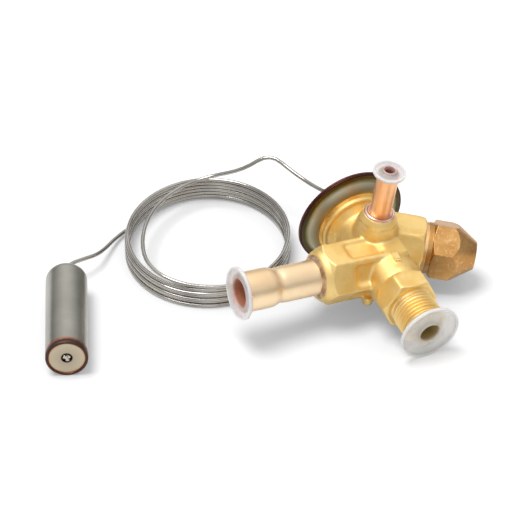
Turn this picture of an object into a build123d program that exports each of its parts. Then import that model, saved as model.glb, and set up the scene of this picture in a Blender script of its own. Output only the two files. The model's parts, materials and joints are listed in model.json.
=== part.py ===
from build123d import *
import os
from math import asin, atan2, cos, degrees, pi, radians, sin, sqrt, tan

# Thermostatic expansion valve with external equaliser, millimetres, +Z up.
# The valve is drawn in its own frame: the main axis is Y (diaphragm head at +Y, flare inlet at -Y),
# the outlet runs along -X, the equaliser tube along +Z. A rest location then lays it on the floor.

# ---- forged body ----
hex_flats = 19.0            # across flats of the three wrench sections
barrel_radius = 9.5         # round core along the main axis
fit_gap = 0.02              # all round a piece that is pressed or brazed in
running_gap = 0.08          # all round a piece that turns or slides

# outlet branch, distances along the outlet axis
outlet_hex_end = 22.6       # corners of the hexagon
outlet_lip_start = 24.2
outlet_lip_end = 26.0
outlet_lip_radius = 8.7
outlet_bore_radius = 4.2
outlet_socket_start = 17.0  # depth at which the solder tube bottoms

# inlet branch, distances along the inlet axis
inlet_hex_start = 14.5
inlet_hex_end = 22.4
inlet_hex_flats = 18.4
keel_start = 9.0            # lower corners of the inlet hexagon run on under the barrel
neck_radius = 7.1
thread_start = 24.6
thread_end = 33.4
thread_radius = 7.9375      # 5/8-18 UNF, the 3/8 inch flare thread
nose_end = 35.5
nose_radius = 5.0
inlet_bore_radius = 4.3
seat_bore_radius = 3.6
seat_bore_end = 10.2

# equaliser boss, distances above the main axis
equalizer_offset = 8.2      # towards the head
equalizer_boss_radius = 7.6
equalizer_lip_radius = 6.7
equalizer_lip_height = 14.6
equalizer_boss_top = 16.6
equalizer_socket_bottom = 11.0
equalizer_port_radius = 1.6

# head flange of the body, distances along the main axis
flange_radius = 13.4
flange_bottom = 18.9
flange_top = 21.3
chamber_radius = 6.2        # superheat spring chamber
chamber_floor = 6.0
key_width = 1.6             # stops the spring seat turning
key_depth = 0.7

# setting spindle branch: its axis crosses the main axis and leans towards the inlet
spindle_crossing = 14.0
spindle_lean = 30.0
boss_start = 6.0
boss_end = 21.0
nipple_end = 28.0
nipple_radius = 7.0
spindle_bore_radius = 4.6

# ---- solder tubes ----
outlet_tube_radius = 6.35
outlet_tube_wall = 0.7
outlet_cup_radius = 7.05    # expanded end that takes a 1/2 inch pipe
outlet_cup_length = 11.1
outlet_tube_end = 54.9
stop_groove_depth = 0.4
stop_groove_width = 1.8     # from its bottom to the start of the cup
equalizer_tube_radius = 3.8
equalizer_tube_wall = 0.65
equalizer_tube_end = 34.7
braze_height = 1.2
outlet_braze_width = 1.6
equalizer_braze_width = 1.7

# ---- power element ----
head_radius = 20.0
sheet = 0.7                 # thickness of the two pressed cups
cup_dish_radius = 13.9      # where the lower cup leaves the body flange
rim_seat_radius = 17.7      # inner edge of the flat rim
rim_bottom = 24.3           # underside of the rim along the main axis
diaphragm_thickness = 0.2
dome_height = 5.2           # rise of the upper dome above its rim
dome_flat_radius = 6.5
fitting_radius = 2.6        # sleeve that holds the capillary
fitting_length = 4.2

# ---- stem and superheat spring ----
pad_radius = 8.0
pad_hub_radius = 2.8
pad_hub_bottom = 20.6
rod_radius = 1.0
gland_radius = 2.0
seat_hole_radius = 1.4
seat_start = 4.9
seat_end = 8.6
cone_radius = 2.4
cone_length = 3.4
cone_angle_run = 1.1        # axial length of the taper
spring_wire_radius = 0.3
spring_mean_radius = 2.5
spring_turns = 5.5
cone_spring_wire_radius = 0.22
cone_spring_mean_radius = 2.1
cone_spring_turns = 4.5
strainer_start = 16.6
strainer_collar = 1.2
strainer_radius = 3.3
strainer_end = 22.4

# ---- setting gears: a 60 degree bevel pair of equal wheels ----
gear_teeth = 12
gear_outer_cone = 7.8       # cone distance at the large end of the teeth
gear_inner_cone = 5.6
gear_addendum = 0.32
gear_dedendum = 0.46
tooth_share = 0.38          # tooth width as a share of the pitch
hub_radius = 2.05
hub_top = 13.4
carrier_radius = 2.9        # spring seat, a keyed nut on the gear hub
carrier_bottom = 10.7
carrier_top = 12.6
shaft_radius = 2.0
shaft_end = 30.6
collar_radius = 4.3
collar_start = 10.8
packing_start = 13.4
packing_end = 17.6
gland_nut_end = 24.4
driver_slot_width = 0.9
driver_slot_depth = 1.2

# ---- seal cap ----
gasket_thickness = 1.0
cap_collar_radius = 9.2
cap_collar_length = 1.7
cap_flats = 19.0
cap_hex_end = 31.0          # corners of the hexagon
cap_end = 39.7
cap_end_radius = 5.0
cap_cavity_end = 33.0
cap_cavity_radius = 4.8

# ---- plastic transit plugs ----
flare_plug_radius = 10.95
flare_plug_flange = 1.4
flare_plug_hole = 3.5
flare_plug_length = 12.0
outlet_plug_radius = 9.35
outlet_plug_flange = 1.3
outlet_plug_hole = 4.9
outlet_plug_clearance = 1.1  # from the plug's end to the bottom of the cup
equalizer_plug_radius = 5.8
equalizer_plug_flange = 1.1
equalizer_plug_hole = 1.9
equalizer_plug_hub = 2.7    # collar round the hole, proud of the flange
equalizer_plug_hub_rise = 0.6
equalizer_plug_length = 8.0
plug_gap = 0.06

# ---- capillary, coil and bulb ----
capillary_radius = 0.725
coil_height = 9.0
coil_half_width = 30.1      # outer, the short way
coil_half_depth = 33.65     # outer, the long way
coil_band = 2.4             # radial thickness of the wound band
bulb_radius = 7.35
bulb_length = 48.5
bulb_wall = 0.8
bulb_shoulder = 3.6
bulb_neck_radius = 2.1
bulb_neck_length = 1.6
bulb_ring_length = 1.9      # rim of the end plug
bulb_seam_width = 0.5
bulb_recess = 0.5
stub_radius = 1.3
stub_hole_radius = 1.85
stub_proud = 0.25

# ---- how it rests ----
rest_roll = 5.6             # outlet raised, seal cap lowered
floor_shift_x = -10.06      # from the point under the branch crossing to the middle of the box
floor_shift_y = -1.49
coil_centre = (-42.6, 52.6)
coil_turn = -26.2           # direction of the coil's short way, degrees
bulb_face = (-115.8, 9.8)   # middle of the charging end
bulb_heading = 67.0         # direction from the charging end to the capillary end


def turned(*outline):
    """Solid of revolution about Z from (radius, height) points."""
    points = [(radius, 0, height) for radius, height in outline]
    return revolve(make_face(Polyline(*points, close=True)), Axis.Z)


def disc(radius, start, end):
    return turned((0, start), (radius, start), (radius, end), (0, end))


def ring(outer, inner, start, end):
    return turned((inner, start), (outer, start), (outer, end), (inner, end))


def hexagon(flats, start, end):
    """Hexagonal bar along Z with its corners on the local X axis."""
    return extrude(Plane.XY.offset(start) * RegularPolygon(flats / 2, 6, major_radius=False), end - start)


def corner_radius(flats):
    return flats / sqrt(3)


spindle_dir = Vector(cos(radians(spindle_lean)), -sin(radians(spindle_lean)), 0)
HEAD = Plane((0, 0, 0), x_dir=(1, 0, 0), z_dir=(0, 1, 0))
INLET = Plane((0, 0, 0), x_dir=(1, 0, 0), z_dir=(0, -1, 0))
OUTLET = Plane((0, 0, 0), x_dir=(0, 1, 0), z_dir=(-1, 0, 0))
EQUALIZER = Plane((0, equalizer_offset, 0), x_dir=(1, 0, 0), z_dir=(0, 0, 1))
SPINDLE = Plane((0, spindle_crossing, 0), x_dir=spindle_dir.cross(Vector(0, 0, -1)), z_dir=spindle_dir)
GEAR = Plane((0, spindle_crossing, 0), x_dir=(1, 0, 0), z_dir=(0, -1, 0))


# ---- body ----
def outlet_branch():
    hex_bar = hexagon(hex_flats, -6, outlet_lip_start) - outlet_pockets()
    corner = corner_radius(hex_flats)
    envelope = turned(
        (0, -7), (corner + 1, -7), (corner + 1, outlet_hex_end), (corner, outlet_hex_end),
        (hex_flats / 2 - 0.2, outlet_lip_start), (outlet_lip_radius + 0.3, outlet_lip_end - 0.9),
        (outlet_lip_radius - 0.4, outlet_lip_end), (0, outlet_lip_end),
    )
    lip = disc(hex_flats / 2 - 0.2, outlet_lip_start - 1, outlet_lip_end)
    return (hex_bar + lip) & envelope


def outlet_pockets():
    """Shallow forging pockets in the flats of the outlet branch."""
    pockets = []
    for turn, depth, start, end in ((90, 0.9, 2.0, 16.0), (30, 1.5, 4.0, 14.5), (-90, 0.9, 2.0, 16.0),
                                    (-30, 1.5, 4.0, 14.5), (150, 1.3, 4.0, 15.4), (210, 1.3, 4.0, 15.4)):
        half = corner_radius(hex_flats) / 2 - 1.4
        foot = RectangleRounded(end - start - 2 * depth, 2 * half - 2 * depth, 1.0)
        mouth = RectangleRounded(end - start + 0.2, 2 * half + 0.2, 2.0)
        mid = (start + end) / 2
        level = hex_flats / 2
        pocket = loft([Pos(0, 0, level - depth) * foot, Pos(0, 0, level + 0.1) * mouth])
        pockets.append(Rot(0, 0, turn) * Pos(0, 0, mid) * Rot(0, 90, 0) * pocket)
    return pockets


def inlet_branch():
    corner = corner_radius(inlet_hex_flats)
    hex_bar = hexagon(inlet_hex_flats, inlet_hex_start, inlet_hex_end) & turned(
        (0, 0), (corner - 1.3, inlet_hex_start - 0.2), (corner, inlet_hex_start + 1.2),
        (corner, inlet_hex_end - 0.9), (inlet_hex_flats / 2 - 0.3, inlet_hex_end), (0, inlet_hex_end),
    )
    half = Pos(0, -inlet_hex_flats / 2 - 2, 0) * Box(3 * corner, inlet_hex_flats, 2 * inlet_hex_end)
    keel = hexagon(inlet_hex_flats, keel_start, inlet_hex_start + 2) & turned(
        (0, 0), (corner - 1.3, keel_start), (corner, keel_start + 1.2), (corner, inlet_hex_end), (0, inlet_hex_end),
    ) & half
    stem = turned(
        (0, 0), (neck_radius, 0), (neck_radius, thread_start - 0.9), (thread_radius, thread_start),
        (thread_radius, thread_end - 0.8), (thread_radius - 0.8, thread_end),
        (nose_radius + 0.6, nose_end - 0.6), (nose_radius, nose_end), (0, nose_end),
    )
    return hex_bar + keel + stem


def body_core():
    step = (barrel_radius - 1.2, inlet_hex_start + 1.6)
    inlet_side = turned((0, -2), (barrel_radius, -2), (barrel_radius, inlet_hex_start - 1.5), step, (0, step[1]))
    head_side = turned(
        (0, 0), (barrel_radius, 0), (barrel_radius, flange_bottom - 2.2),
        (barrel_radius + 2.2, flange_bottom), (flange_radius - 0.5, flange_bottom),
        (flange_radius, flange_bottom + 0.5), (flange_radius, flange_top), (0, flange_top),
    )
    return INLET.location * inlet_side + HEAD.location * head_side


def equalizer_boss():
    return turned(
        (0, 0), (equalizer_boss_radius, 0), (equalizer_boss_radius, 10.5), (7.1, equalizer_lip_height - 1.6),
        (equalizer_lip_radius, equalizer_lip_height - 1.2), (equalizer_lip_radius, equalizer_lip_height),
        (equalizer_lip_radius - 1.2, equalizer_boss_top), (0, equalizer_boss_top),
    )


def spindle_boss():
    corner = corner_radius(hex_flats)
    bar = hexagon(hex_flats, boss_start, boss_end) & turned(
        (0, -1), (corner, -1), (corner, boss_end - 3.2), (corner - 0.7, boss_end - 0.6),
        (hex_flats / 2 - 0.1, boss_end), (0, boss_end),
    )
    nipple = turned(
        (0, boss_end - 1), (nipple_radius, boss_end - 1), (nipple_radius, nipple_end - 0.6),
        (nipple_radius - 0.6, nipple_end), (0, nipple_end),
    )
    return bar + nipple


def body_bores():
    head = HEAD.location * (
        disc(chamber_radius, chamber_floor, flange_top + 1)
        + disc(gland_radius + fit_gap, outlet_bore_radius + 0.1, chamber_floor + 1)
        + disc(rod_radius + running_gap, 0, chamber_floor)
    )
    key_slot = Pos(-chamber_radius, (chamber_floor + 3 + flange_top) / 2 + 0.5, 0) * Box(
        2 * key_depth, flange_top - chamber_floor - 2, key_width + 2 * running_gap)
    inlet = INLET.location * (
        disc(seat_bore_radius, 0, seat_bore_end)
        + disc(inlet_bore_radius, seat_bore_end, nose_end + 1)
    )
    outlet = OUTLET.location * (
        disc(outlet_bore_radius, -2, outlet_socket_start)
        + disc(outlet_tube_radius + fit_gap, outlet_socket_start, outlet_lip_end + 1)
    )
    equalizer = EQUALIZER.location * (
        disc(equalizer_port_radius, 3, equalizer_socket_bottom)
        + disc(equalizer_tube_radius + fit_gap, equalizer_socket_bottom, equalizer_boss_top + 1)
    )
    spindle = SPINDLE.location * disc(spindle_bore_radius, 4, nipple_end + 1)
    return head + key_slot + inlet + outlet + equalizer + spindle


def valve_body():
    solid = body_core() + OUTLET.location * outlet_branch() + INLET.location * inlet_branch()
    solid += EQUALIZER.location * equalizer_boss()
    solid += SPINDLE.location * spindle_boss()
    solid += Pos(-0.2, -7.6, barrel_radius - 0.4) * Rot(0, 0, -8) * Box(2.2, 4.4, 1.5)   # flow mark
    solid += Pos(-7.2, -6.9, -hex_flats / 2) * Cylinder(1.9, 3.2)                        # ejector pip
    return solid - body_bores()


# ---- tubes and braze ----
def outlet_tube():
    bore = outlet_tube_radius - outlet_tube_wall
    cup_bore = outlet_cup_radius - outlet_tube_wall
    groove = outlet_tube_radius - stop_groove_depth
    outlet_cup_start = outlet_tube_end - outlet_cup_length
    stop_groove_place = outlet_cup_start - stop_groove_width
    return turned(
        (outlet_tube_radius, outlet_socket_start), (outlet_tube_radius, stop_groove_place - 1.1),
        (groove, stop_groove_place), (outlet_cup_radius, outlet_cup_start), (outlet_cup_radius, outlet_tube_end),
        (cup_bore, outlet_tube_end), (cup_bore, outlet_cup_start + 0.4),
        (groove - outlet_tube_wall, stop_groove_place + 0.2), (bore, stop_groove_place - 1.2),
        (bore, outlet_socket_start),
    )


def equalizer_tube():
    return ring(equalizer_tube_radius, equalizer_tube_radius - equalizer_tube_wall,
                equalizer_socket_bottom, equalizer_tube_end)


def braze_fillet(tube_radius, seat, width):
    """Concave bead of solder between a tube and the face it enters."""
    return turned((tube_radius, seat), (tube_radius + width, seat),
                  (tube_radius + 0.45 * width, seat + 0.5 * braze_height), (tube_radius, seat + braze_height))


def equalizer_braze_ring():
    """Preformed solder ring, sunk a little where it wets the tube."""
    outer = equalizer_tube_radius + equalizer_braze_width
    seat = equalizer_boss_top
    return turned((equalizer_tube_radius, seat), (outer, seat), (outer, seat + 0.3 * braze_height),
                  (outer - 0.35, seat + 0.62 * braze_height), (outer - 0.8, seat + 0.66 * braze_height),
                  (equalizer_tube_radius, seat + 0.3 * braze_height))


def head_braze_ring():
    width = cup_dish_radius - flange_radius + 0.1
    return turned((flange_radius, flange_top - 0.9), (flange_radius + width, flange_top), (flange_radius, flange_top))


# ---- power element ----
rim_mid = rim_bottom + sheet
rim_top = rim_mid + diaphragm_thickness + sheet


def head_lower_cup():
    inner = chamber_radius + 0.2
    floor = flange_top
    width = rim_seat_radius - cup_dish_radius
    rise = rim_bottom - floor
    below, above = [], []
    for across, up in ((0.0, 0.0), (0.3, 0.13), (0.55, 0.36), (0.75, 0.66), (0.88, 0.88), (1.0, 1.0)):
        below.append((cup_dish_radius + across * width, floor + up * rise))
        above.append((cup_dish_radius + across * width - 0.6 * sheet * (1 - across) - 0.2, floor + up * rise + sheet))
    return turned((inner, floor), *below, (head_radius, rim_bottom), (head_radius, rim_mid),
                  *reversed(above), (inner, floor + sheet))


def head_upper_dome():
    base = rim_mid + diaphragm_thickness
    top = rim_top + dome_height
    outer = [(head_radius, rim_top), (rim_seat_radius, rim_top), (rim_seat_radius - 2.2, rim_top + 1.7),
             (dome_flat_radius + 3.2, top - 0.9), (dome_flat_radius, top), (fitting_radius - 0.6, top)]
    inner = [(fitting_radius - 0.6, top - sheet), (dome_flat_radius - 0.2, top - sheet),
             (dome_flat_radius + 2.8, top - sheet - 0.8), (rim_seat_radius - 2.7, rim_top + 0.9),
             (rim_seat_radius - 0.5, base), (head_radius, base)]
    return turned(*outer, *inner)


def diaphragm():
    wave = 0.45
    low, high = rim_mid, rim_mid + diaphragm_thickness
    outline = [(0, low)]
    for radius, rise in ((9.2, 0), (10.6, wave), (12.0, 0), (13.4, wave), (14.8, 0)):
        outline.append((radius, low + rise))
    outline += [(head_radius - 0.5, low), (head_radius - 0.5, high)]
    for radius, rise in ((14.8, 0), (13.4, wave), (12.0, 0), (10.6, wave), (9.2, 0)):
        outline.append((radius, high + rise))
    outline.append((0, high))
    return turned(*outline)


def capillary_fitting():
    seat = rim_top + dome_height
    return turned(
        (capillary_radius + fit_gap, seat - sheet), (fitting_radius - 0.6 - fit_gap, seat - sheet),
        (fitting_radius - 0.6 - fit_gap, seat), (fitting_radius, seat),
        (fitting_radius, seat + fitting_length - 1.2), (capillary_radius + 0.7, seat + fitting_length),
        (capillary_radius + fit_gap, seat + fitting_length),
    )


# ---- stem, springs, orifice ----
def thrust_pad():
    top = rim_mid
    return turned((0, pad_hub_bottom), (pad_hub_radius, pad_hub_bottom), (pad_hub_radius, top - 1.5),
                  (pad_radius, top - 1.2), (pad_radius, top), (0, top))


def coil_spring(mean_radius, wire_radius, turns, start, end):
    """Compression spring between two faces along Z."""
    height = end - start - 2 * wire_radius - 2 * fit_gap
    path = Helix(pitch=height / turns, height=height, radius=mean_radius)
    section = Plane(origin=path @ 0, z_dir=path % 0) * Circle(wire_radius)
    return Pos(0, 0, start + wire_radius + fit_gap) * sweep(section, path=path, is_frenet=True)


def valve_cone():
    tip = seat_end - 0.4
    start = seat_end - 0.3
    slope = (cone_radius - 1.0) / cone_angle_run
    tip_radius = 1.0 - 0.1 * slope
    end = start + cone_angle_run + cone_length
    return turned((0, tip), (tip_radius, tip), (cone_radius, start + cone_angle_run), (cone_radius, end - 0.8),
                  (1.6, end - 0.8), (1.6, end), (0, end))


def push_rod():
    return disc(rod_radius, -(seat_end - 0.4), pad_hub_bottom)


def rod_gland():
    return ring(gland_radius, rod_radius + running_gap, outlet_bore_radius + 0.1, chamber_floor)


def orifice_seat():
    return turned((seat_hole_radius, seat_start), (seat_bore_radius - fit_gap, seat_start),
                  (seat_bore_radius - fit_gap, seat_end), (seat_hole_radius + 0.5, seat_end),
                  (seat_hole_radius, seat_end - 0.3))


def inlet_strainer():
    collar_end = strainer_start + strainer_collar
    return turned((1.7, strainer_start), (inlet_bore_radius - fit_gap, strainer_start),
                  (inlet_bore_radius - fit_gap, collar_end), (strainer_radius, collar_end),
                  (strainer_radius, strainer_end), (0, strainer_end), (0, strainer_end - 0.5),
                  (strainer_radius - 0.5, strainer_end - 0.5), (strainer_radius - 0.5, collar_end),
                  (1.7, collar_end))


# ---- superheat setting ----
cone_half = 30.0            # pitch cone angle of each wheel: half the 60 degree shaft angle


def gear_tooth():
    """One straight bevel tooth: the same trapezium at both ends, scaled towards the apex."""
    slant = Vector(sin(radians(cone_half)), 0, cos(radians(cone_half)))
    pitch_radius = gear_outer_cone * sin(radians(cone_half))
    half = tooth_share * pi * pitch_radius / gear_teeth
    sections = []
    for distance in (gear_inner_cone, gear_outer_cone):
        size = distance / gear_outer_cone
        plane = Plane(slant * distance, x_dir=(0, 1, 0), z_dir=slant)
        side = 1 if plane.y_dir.X > 0 else -1
        root, tip = -(gear_dedendum + 0.15) * size, gear_addendum * size
        outline = Polyline((-1.3 * half * size, side * root), (1.3 * half * size, side * root),
                           (0.7 * half * size, side * tip), (-0.7 * half * size, side * tip), close=True)
        sections.append(plane * make_face(outline))
    return loft(sections, ruled=True)


def gear_ring(first_angle):
    """Root cone of a wheel with its teeth; the apex is the origin and the wheel lies along +Z."""
    back = gear_dedendum / gear_outer_cone
    angle = radians(cone_half)
    def root(distance):
        return (distance * (sin(angle) - back * cos(angle)), distance * (cos(angle) + back * sin(angle)))
    inner, outer = root(gear_inner_cone), root(gear_outer_cone)
    wheel = turned((0, inner[1]), inner, outer, (outer[0], outer[1] + 0.55), (0, outer[1] + 0.55))
    for index in range(gear_teeth):
        wheel += Rot(0, 0, first_angle + index * 360 / gear_teeth) * gear_tooth()
    return wheel, outer[1] + 0.55


def setting_gear():
    wheel, back = gear_ring(0)
    floor = spindle_crossing - chamber_floor - running_gap
    hub = disc(hub_radius, spindle_crossing - hub_top, back - 1)
    foot = disc(hub_radius + 0.8, back - 0.5, floor)
    return wheel + hub + foot - disc(rod_radius + running_gap, 0, floor + 1)


def setting_spindle():
    wheel, back = gear_ring(180 / gear_teeth)
    shaft = turned((0, back - 1), (shaft_radius, back - 1), (shaft_radius, collar_start),
                   (collar_radius, collar_start), (collar_radius, packing_start - 0.4),
                   (shaft_radius, packing_start - 0.4), (shaft_radius, shaft_end - 0.4),
                   (shaft_radius - 0.4, shaft_end), (0, shaft_end))
    slot = Pos(0, 0, shaft_end - driver_slot_depth / 2 + 0.5) * Box(
        2 * shaft_radius + 1, driver_slot_width, driver_slot_depth + 1)
    return wheel + shaft - slot


def spring_seat():
    nut = ring(carrier_radius, hub_radius + running_gap, carrier_bottom, carrier_top)
    reach = chamber_radius + key_depth - 2 * running_gap
    key = Pos(-(carrier_radius + reach) / 2 + 0.15, 0, (carrier_bottom + carrier_top) / 2) * Box(
        reach - carrier_radius + 0.3, key_width, carrier_top - carrier_bottom)
    return nut + key


def spindle_packing():
    return ring(spindle_bore_radius - fit_gap, shaft_radius + 0.03, packing_start, packing_end)


def gland_nut():
    body = ring(spindle_bore_radius - fit_gap, shaft_radius + running_gap, packing_end, gland_nut_end)
    slot = Pos(0, 0, gland_nut_end) * Box(2 * spindle_bore_radius + 1, 1.4, 2.4)
    return body - slot


def cap_gasket():
    return ring(cap_collar_radius, nipple_radius + running_gap, boss_end, boss_end + gasket_thickness)


def seal_cap():
    face = boss_end + gasket_thickness
    corner = corner_radius(cap_flats)
    hex_start = face + cap_collar_length
    run = (cap_end - cap_hex_end) / (corner - cap_end_radius)
    flat_reach = cap_hex_end + run * (corner - cap_flats / 2)
    bar = Rot(0, 0, 30) * hexagon(cap_flats, hex_start, flat_reach + 0.5)
    envelope = turned(
        (0, hex_start), (cap_flats / 2 - 0.3, hex_start), (corner, hex_start + 1.0), (corner, cap_hex_end),
        (cap_end_radius, cap_end), (0, cap_end),
    )
    tip = turned((0, flat_reach), (cap_end_radius + (cap_end - flat_reach) / run, flat_reach),
                 (cap_end_radius, cap_end), (0, cap_end))
    collar = disc(cap_collar_radius, face, hex_start + 0.5)
    cavity = turned(
        (0, face - 1), (nipple_radius + running_gap, face - 1), (nipple_radius + running_gap, nipple_end + 0.8),
        (cap_cavity_radius, nipple_end + 1.4), (cap_cavity_radius, cap_cavity_end - 1.5),
        (0, cap_cavity_end + 1.2),
    )
    return (bar & envelope) + tip + collar - cavity


# ---- transit plugs ----
def plug(face, flange, thickness, body, hole, length, hub=0.0, hub_rise=0.0):
    """Hollow plug: the body points inwards from the face, the flange and its hub stand outside."""
    outer = face + thickness
    outline = [(hole, face - length), (body - 0.5, face - length), (body, face - length + 1.5),
               (body, face), (flange, face), (flange, outer)]
    if hub_rise > 0:
        outline += [(hub, outer), (hub, outer + hub_rise), (hole, outer + hub_rise)]
    else:
        outline.append((hole, outer))
    return turned(*outline)


def inlet_plug():
    return plug(nose_end, flare_plug_radius, flare_plug_flange, inlet_bore_radius - plug_gap,
                flare_plug_hole, flare_plug_length)


def outlet_plug():
    return plug(outlet_tube_end, outlet_plug_radius, outlet_plug_flange,
                outlet_cup_radius - outlet_tube_wall - plug_gap, outlet_plug_hole,
                outlet_cup_length - outlet_plug_clearance)


def equalizer_plug():
    return plug(equalizer_tube_end, equalizer_plug_radius, equalizer_plug_flange,
                equalizer_tube_radius - equalizer_tube_wall - plug_gap, equalizer_plug_hole,
                equalizer_plug_length, equalizer_plug_hub, equalizer_plug_hub_rise)


# ---- bulb, along Z from the charging end ----
def bulb_end_plug():
    spigot = bulb_radius - bulb_wall - fit_gap
    return turned(
        (stub_hole_radius, bulb_recess), (bulb_radius - 1.0, bulb_recess), (bulb_radius - 0.8, 0),
        (bulb_radius - 0.25, 0), (bulb_radius, 0.25), (bulb_radius, bulb_ring_length),
        (spigot, bulb_ring_length), (spigot, bulb_ring_length + 3.0), (stub_hole_radius, bulb_ring_length + 3.0),
    )


def bulb_braze_ring():
    return ring(bulb_radius, bulb_radius - bulb_wall, bulb_ring_length, bulb_ring_length + bulb_seam_width)


def bulb_shell():
    start = bulb_ring_length + bulb_seam_width
    neck = bulb_length - bulb_neck_length
    outer = [(bulb_radius, start), (bulb_radius, neck - bulb_shoulder)]
    for step in (30, 60, 85):
        outer.append((bulb_radius - bulb_shoulder * (1 - cos(radians(step))),
                      neck - bulb_shoulder * (1 - sin(radians(step)))))
    outer += [(bulb_neck_radius, neck), (bulb_neck_radius, bulb_length)]
    inner = [(capillary_radius + fit_gap, bulb_length), (capillary_radius + fit_gap, neck - bulb_wall),
             (bulb_radius - bulb_shoulder, neck - bulb_wall),
             (bulb_radius - bulb_wall, neck - bulb_shoulder), (bulb_radius - bulb_wall, start)]
    return turned(*outer, *inner)


def bulb_fill_stub():
    stub = turned((0, bulb_recess - stub_proud - 0.6), (stub_radius, bulb_recess - stub_proud),
                  (stub_hole_radius - fit_gap, bulb_recess + 1.2), (stub_hole_radius - fit_gap, bulb_recess + 4.0),
                  (0, bulb_recess + 4.0))
    return stub - Pos(0, 0, bulb_recess - 1) * Box(4, 0.35, 1.4)


# ---- rest pose ----
# The valve rests on the edge of the head rim and on the flange edge of the inlet plug.
plug_edge = nose_end + flare_plug_flange
head_up = atan2(head_radius - flare_plug_radius, rim_bottom + plug_edge)
roll = radians(rest_roll)
pitch = asin(sin(head_up) / cos(roll))
axis_height = head_radius * cos(head_up) - rim_bottom * sin(head_up)
REST = Pos(-floor_shift_x, -floor_shift_y, axis_height) * Rot(0, rest_roll, 0) * Rot(degrees(pitch), 0, 0)


def bench(x, y, z=0.0):
    """Point given from the floor below the branch crossing, in the part's frame."""
    return Vector(x - floor_shift_x, y - floor_shift_y, z)


bulb_dir = Vector(cos(radians(bulb_heading)), sin(radians(bulb_heading)), 0)
BULB = Plane(bench(*bulb_face, bulb_radius), x_dir=bulb_dir.cross(Vector(0, 0, 1)), z_dir=bulb_dir)


# ---- capillary route ----
def axis_point(frame_location, height):
    return (frame_location * Pos(0, 0, height)).position


head_location = REST * HEAD.location
mouth_height = rim_top + dome_height + fitting_length
lead_start = axis_point(head_location, rim_top + dome_height)
lead_first = axis_point(head_location, mouth_height + 1.6)
tail_end = axis_point(BULB.location, bulb_length - bulb_neck_length)
tail_last = axis_point(BULB.location, bulb_length + 4.4)

lead_route = [
    (-0.6, 48.2, 17.4), (-4.7, 59.8, 18.6), (-9.5, 69.0, 22.9), (-19.2, 71.2, 16.9),
    (-28.6, 80.2, 11.4), (-41.5, 80.5, 10.2), (-54.5, 73.0, 10.1), (-64.2, 61.5, 10.1),
    (-70.0, 48.0, 10.0), (-69.9, 37.6, 9.9), (-65.6, 30.0, 9.3), (-59.0, 25.0, 8.4),
]
tail_route = [
    (-58.5, 78.6, 0.9), (-69.0, 73.2, 1.8), (-77.6, 65.2, 4.0), (-82.9, 60.7, 6.2), (-88.6, 59.0, 7.5),
]


def tube_path(points):
    """Straight runs joined by tangent arcs, each arc as large as its two runs allow."""
    radii = []
    for before, here, after in zip(points, points[1:], points[2:]):
        turn = (here - before).get_angle(after - here)
        shorter = min((here - before).length, (after - here).length)
        radii.append(0.45 * shorter / tan(radians(turn / 2)))
    print("capillary radii", [round(value, 1) for value in radii])
    return FilletPolyline(*points, radius=radii)


def capillary(points, name):
    path = tube_path(points)
    tube = sweep(Plane(origin=path @ 0, z_dir=path % 0) * Circle(capillary_radius), path=path)
    expected = pi * capillary_radius ** 2 * path.length
    print(name, "length", round(path.length, 1), "volume ratio", round(tube.volume / expected, 4))
    return tube


def capillary_coil():
    outer = Ellipse(coil_half_width, coil_half_depth)
    inner = Ellipse(coil_half_width - coil_band, coil_half_depth - coil_band)
    band = extrude(outer - inner, coil_height)
    return Location(bench(*coil_centre)) * Rot(0, 0, coil_turn) * band


lead_points = [lead_start, lead_first] + [bench(*point) for point in lead_route]
tail_points = [bench(*point) for point in tail_route] + [tail_last, tail_end]

valve_pieces = {
    "valve_body": (Location(), valve_body()),
    "outlet_tube": (OUTLET.location, outlet_tube()),
    "outlet_braze_ring": (OUTLET.location, braze_fillet(outlet_tube_radius, outlet_lip_end, outlet_braze_width)),
    "outlet_plug": (OUTLET.location, outlet_plug()),
    "equalizer_tube": (EQUALIZER.location, equalizer_tube()),
    "equalizer_braze_ring": (EQUALIZER.location, equalizer_braze_ring()),
    "equalizer_plug": (EQUALIZER.location, equalizer_plug()),
    "inlet_plug": (INLET.location, inlet_plug()),
    "inlet_strainer": (INLET.location, inlet_strainer()),
    "orifice_seat": (INLET.location, orifice_seat()),
    "valve_cone": (INLET.location, valve_cone()),
    "cone_spring": (INLET.location, coil_spring(
        cone_spring_mean_radius, cone_spring_wire_radius, cone_spring_turns,
        seat_end - 0.3 + cone_angle_run + cone_length - 0.8, strainer_start)),
    "push_rod": (HEAD.location, push_rod()),
    "rod_gland": (HEAD.location, rod_gland()),
    "thrust_pad": (HEAD.location, thrust_pad()),
    "superheat_spring": (HEAD.location, coil_spring(
        spring_mean_radius, spring_wire_radius, spring_turns, carrier_top, pad_hub_bottom)),
    "spring_seat": (HEAD.location, spring_seat()),
    "setting_gear": (GEAR.location, setting_gear()),
    "setting_spindle": (SPINDLE.location, setting_spindle()),
    "spindle_packing": (SPINDLE.location, spindle_packing()),
    "spindle_gland_nut": (SPINDLE.location, gland_nut()),
    "cap_gasket": (SPINDLE.location, cap_gasket()),
    "seal_cap": (SPINDLE.location, seal_cap()),
    "head_lower_cup": (HEAD.location, head_lower_cup()),
    "head_braze_ring": (HEAD.location, head_braze_ring()),
    "diaphragm": (HEAD.location, diaphragm()),
    "head_upper_dome": (HEAD.location, head_upper_dome()),
    "capillary_fitting": (HEAD.location, capillary_fitting()),
}
bulb_pieces = {
    "bulb_shell": bulb_shell(),
    "bulb_braze_ring": bulb_braze_ring(),
    "bulb_end_plug": bulb_end_plug(),
    "bulb_fill_stub": bulb_fill_stub(),
}

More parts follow.
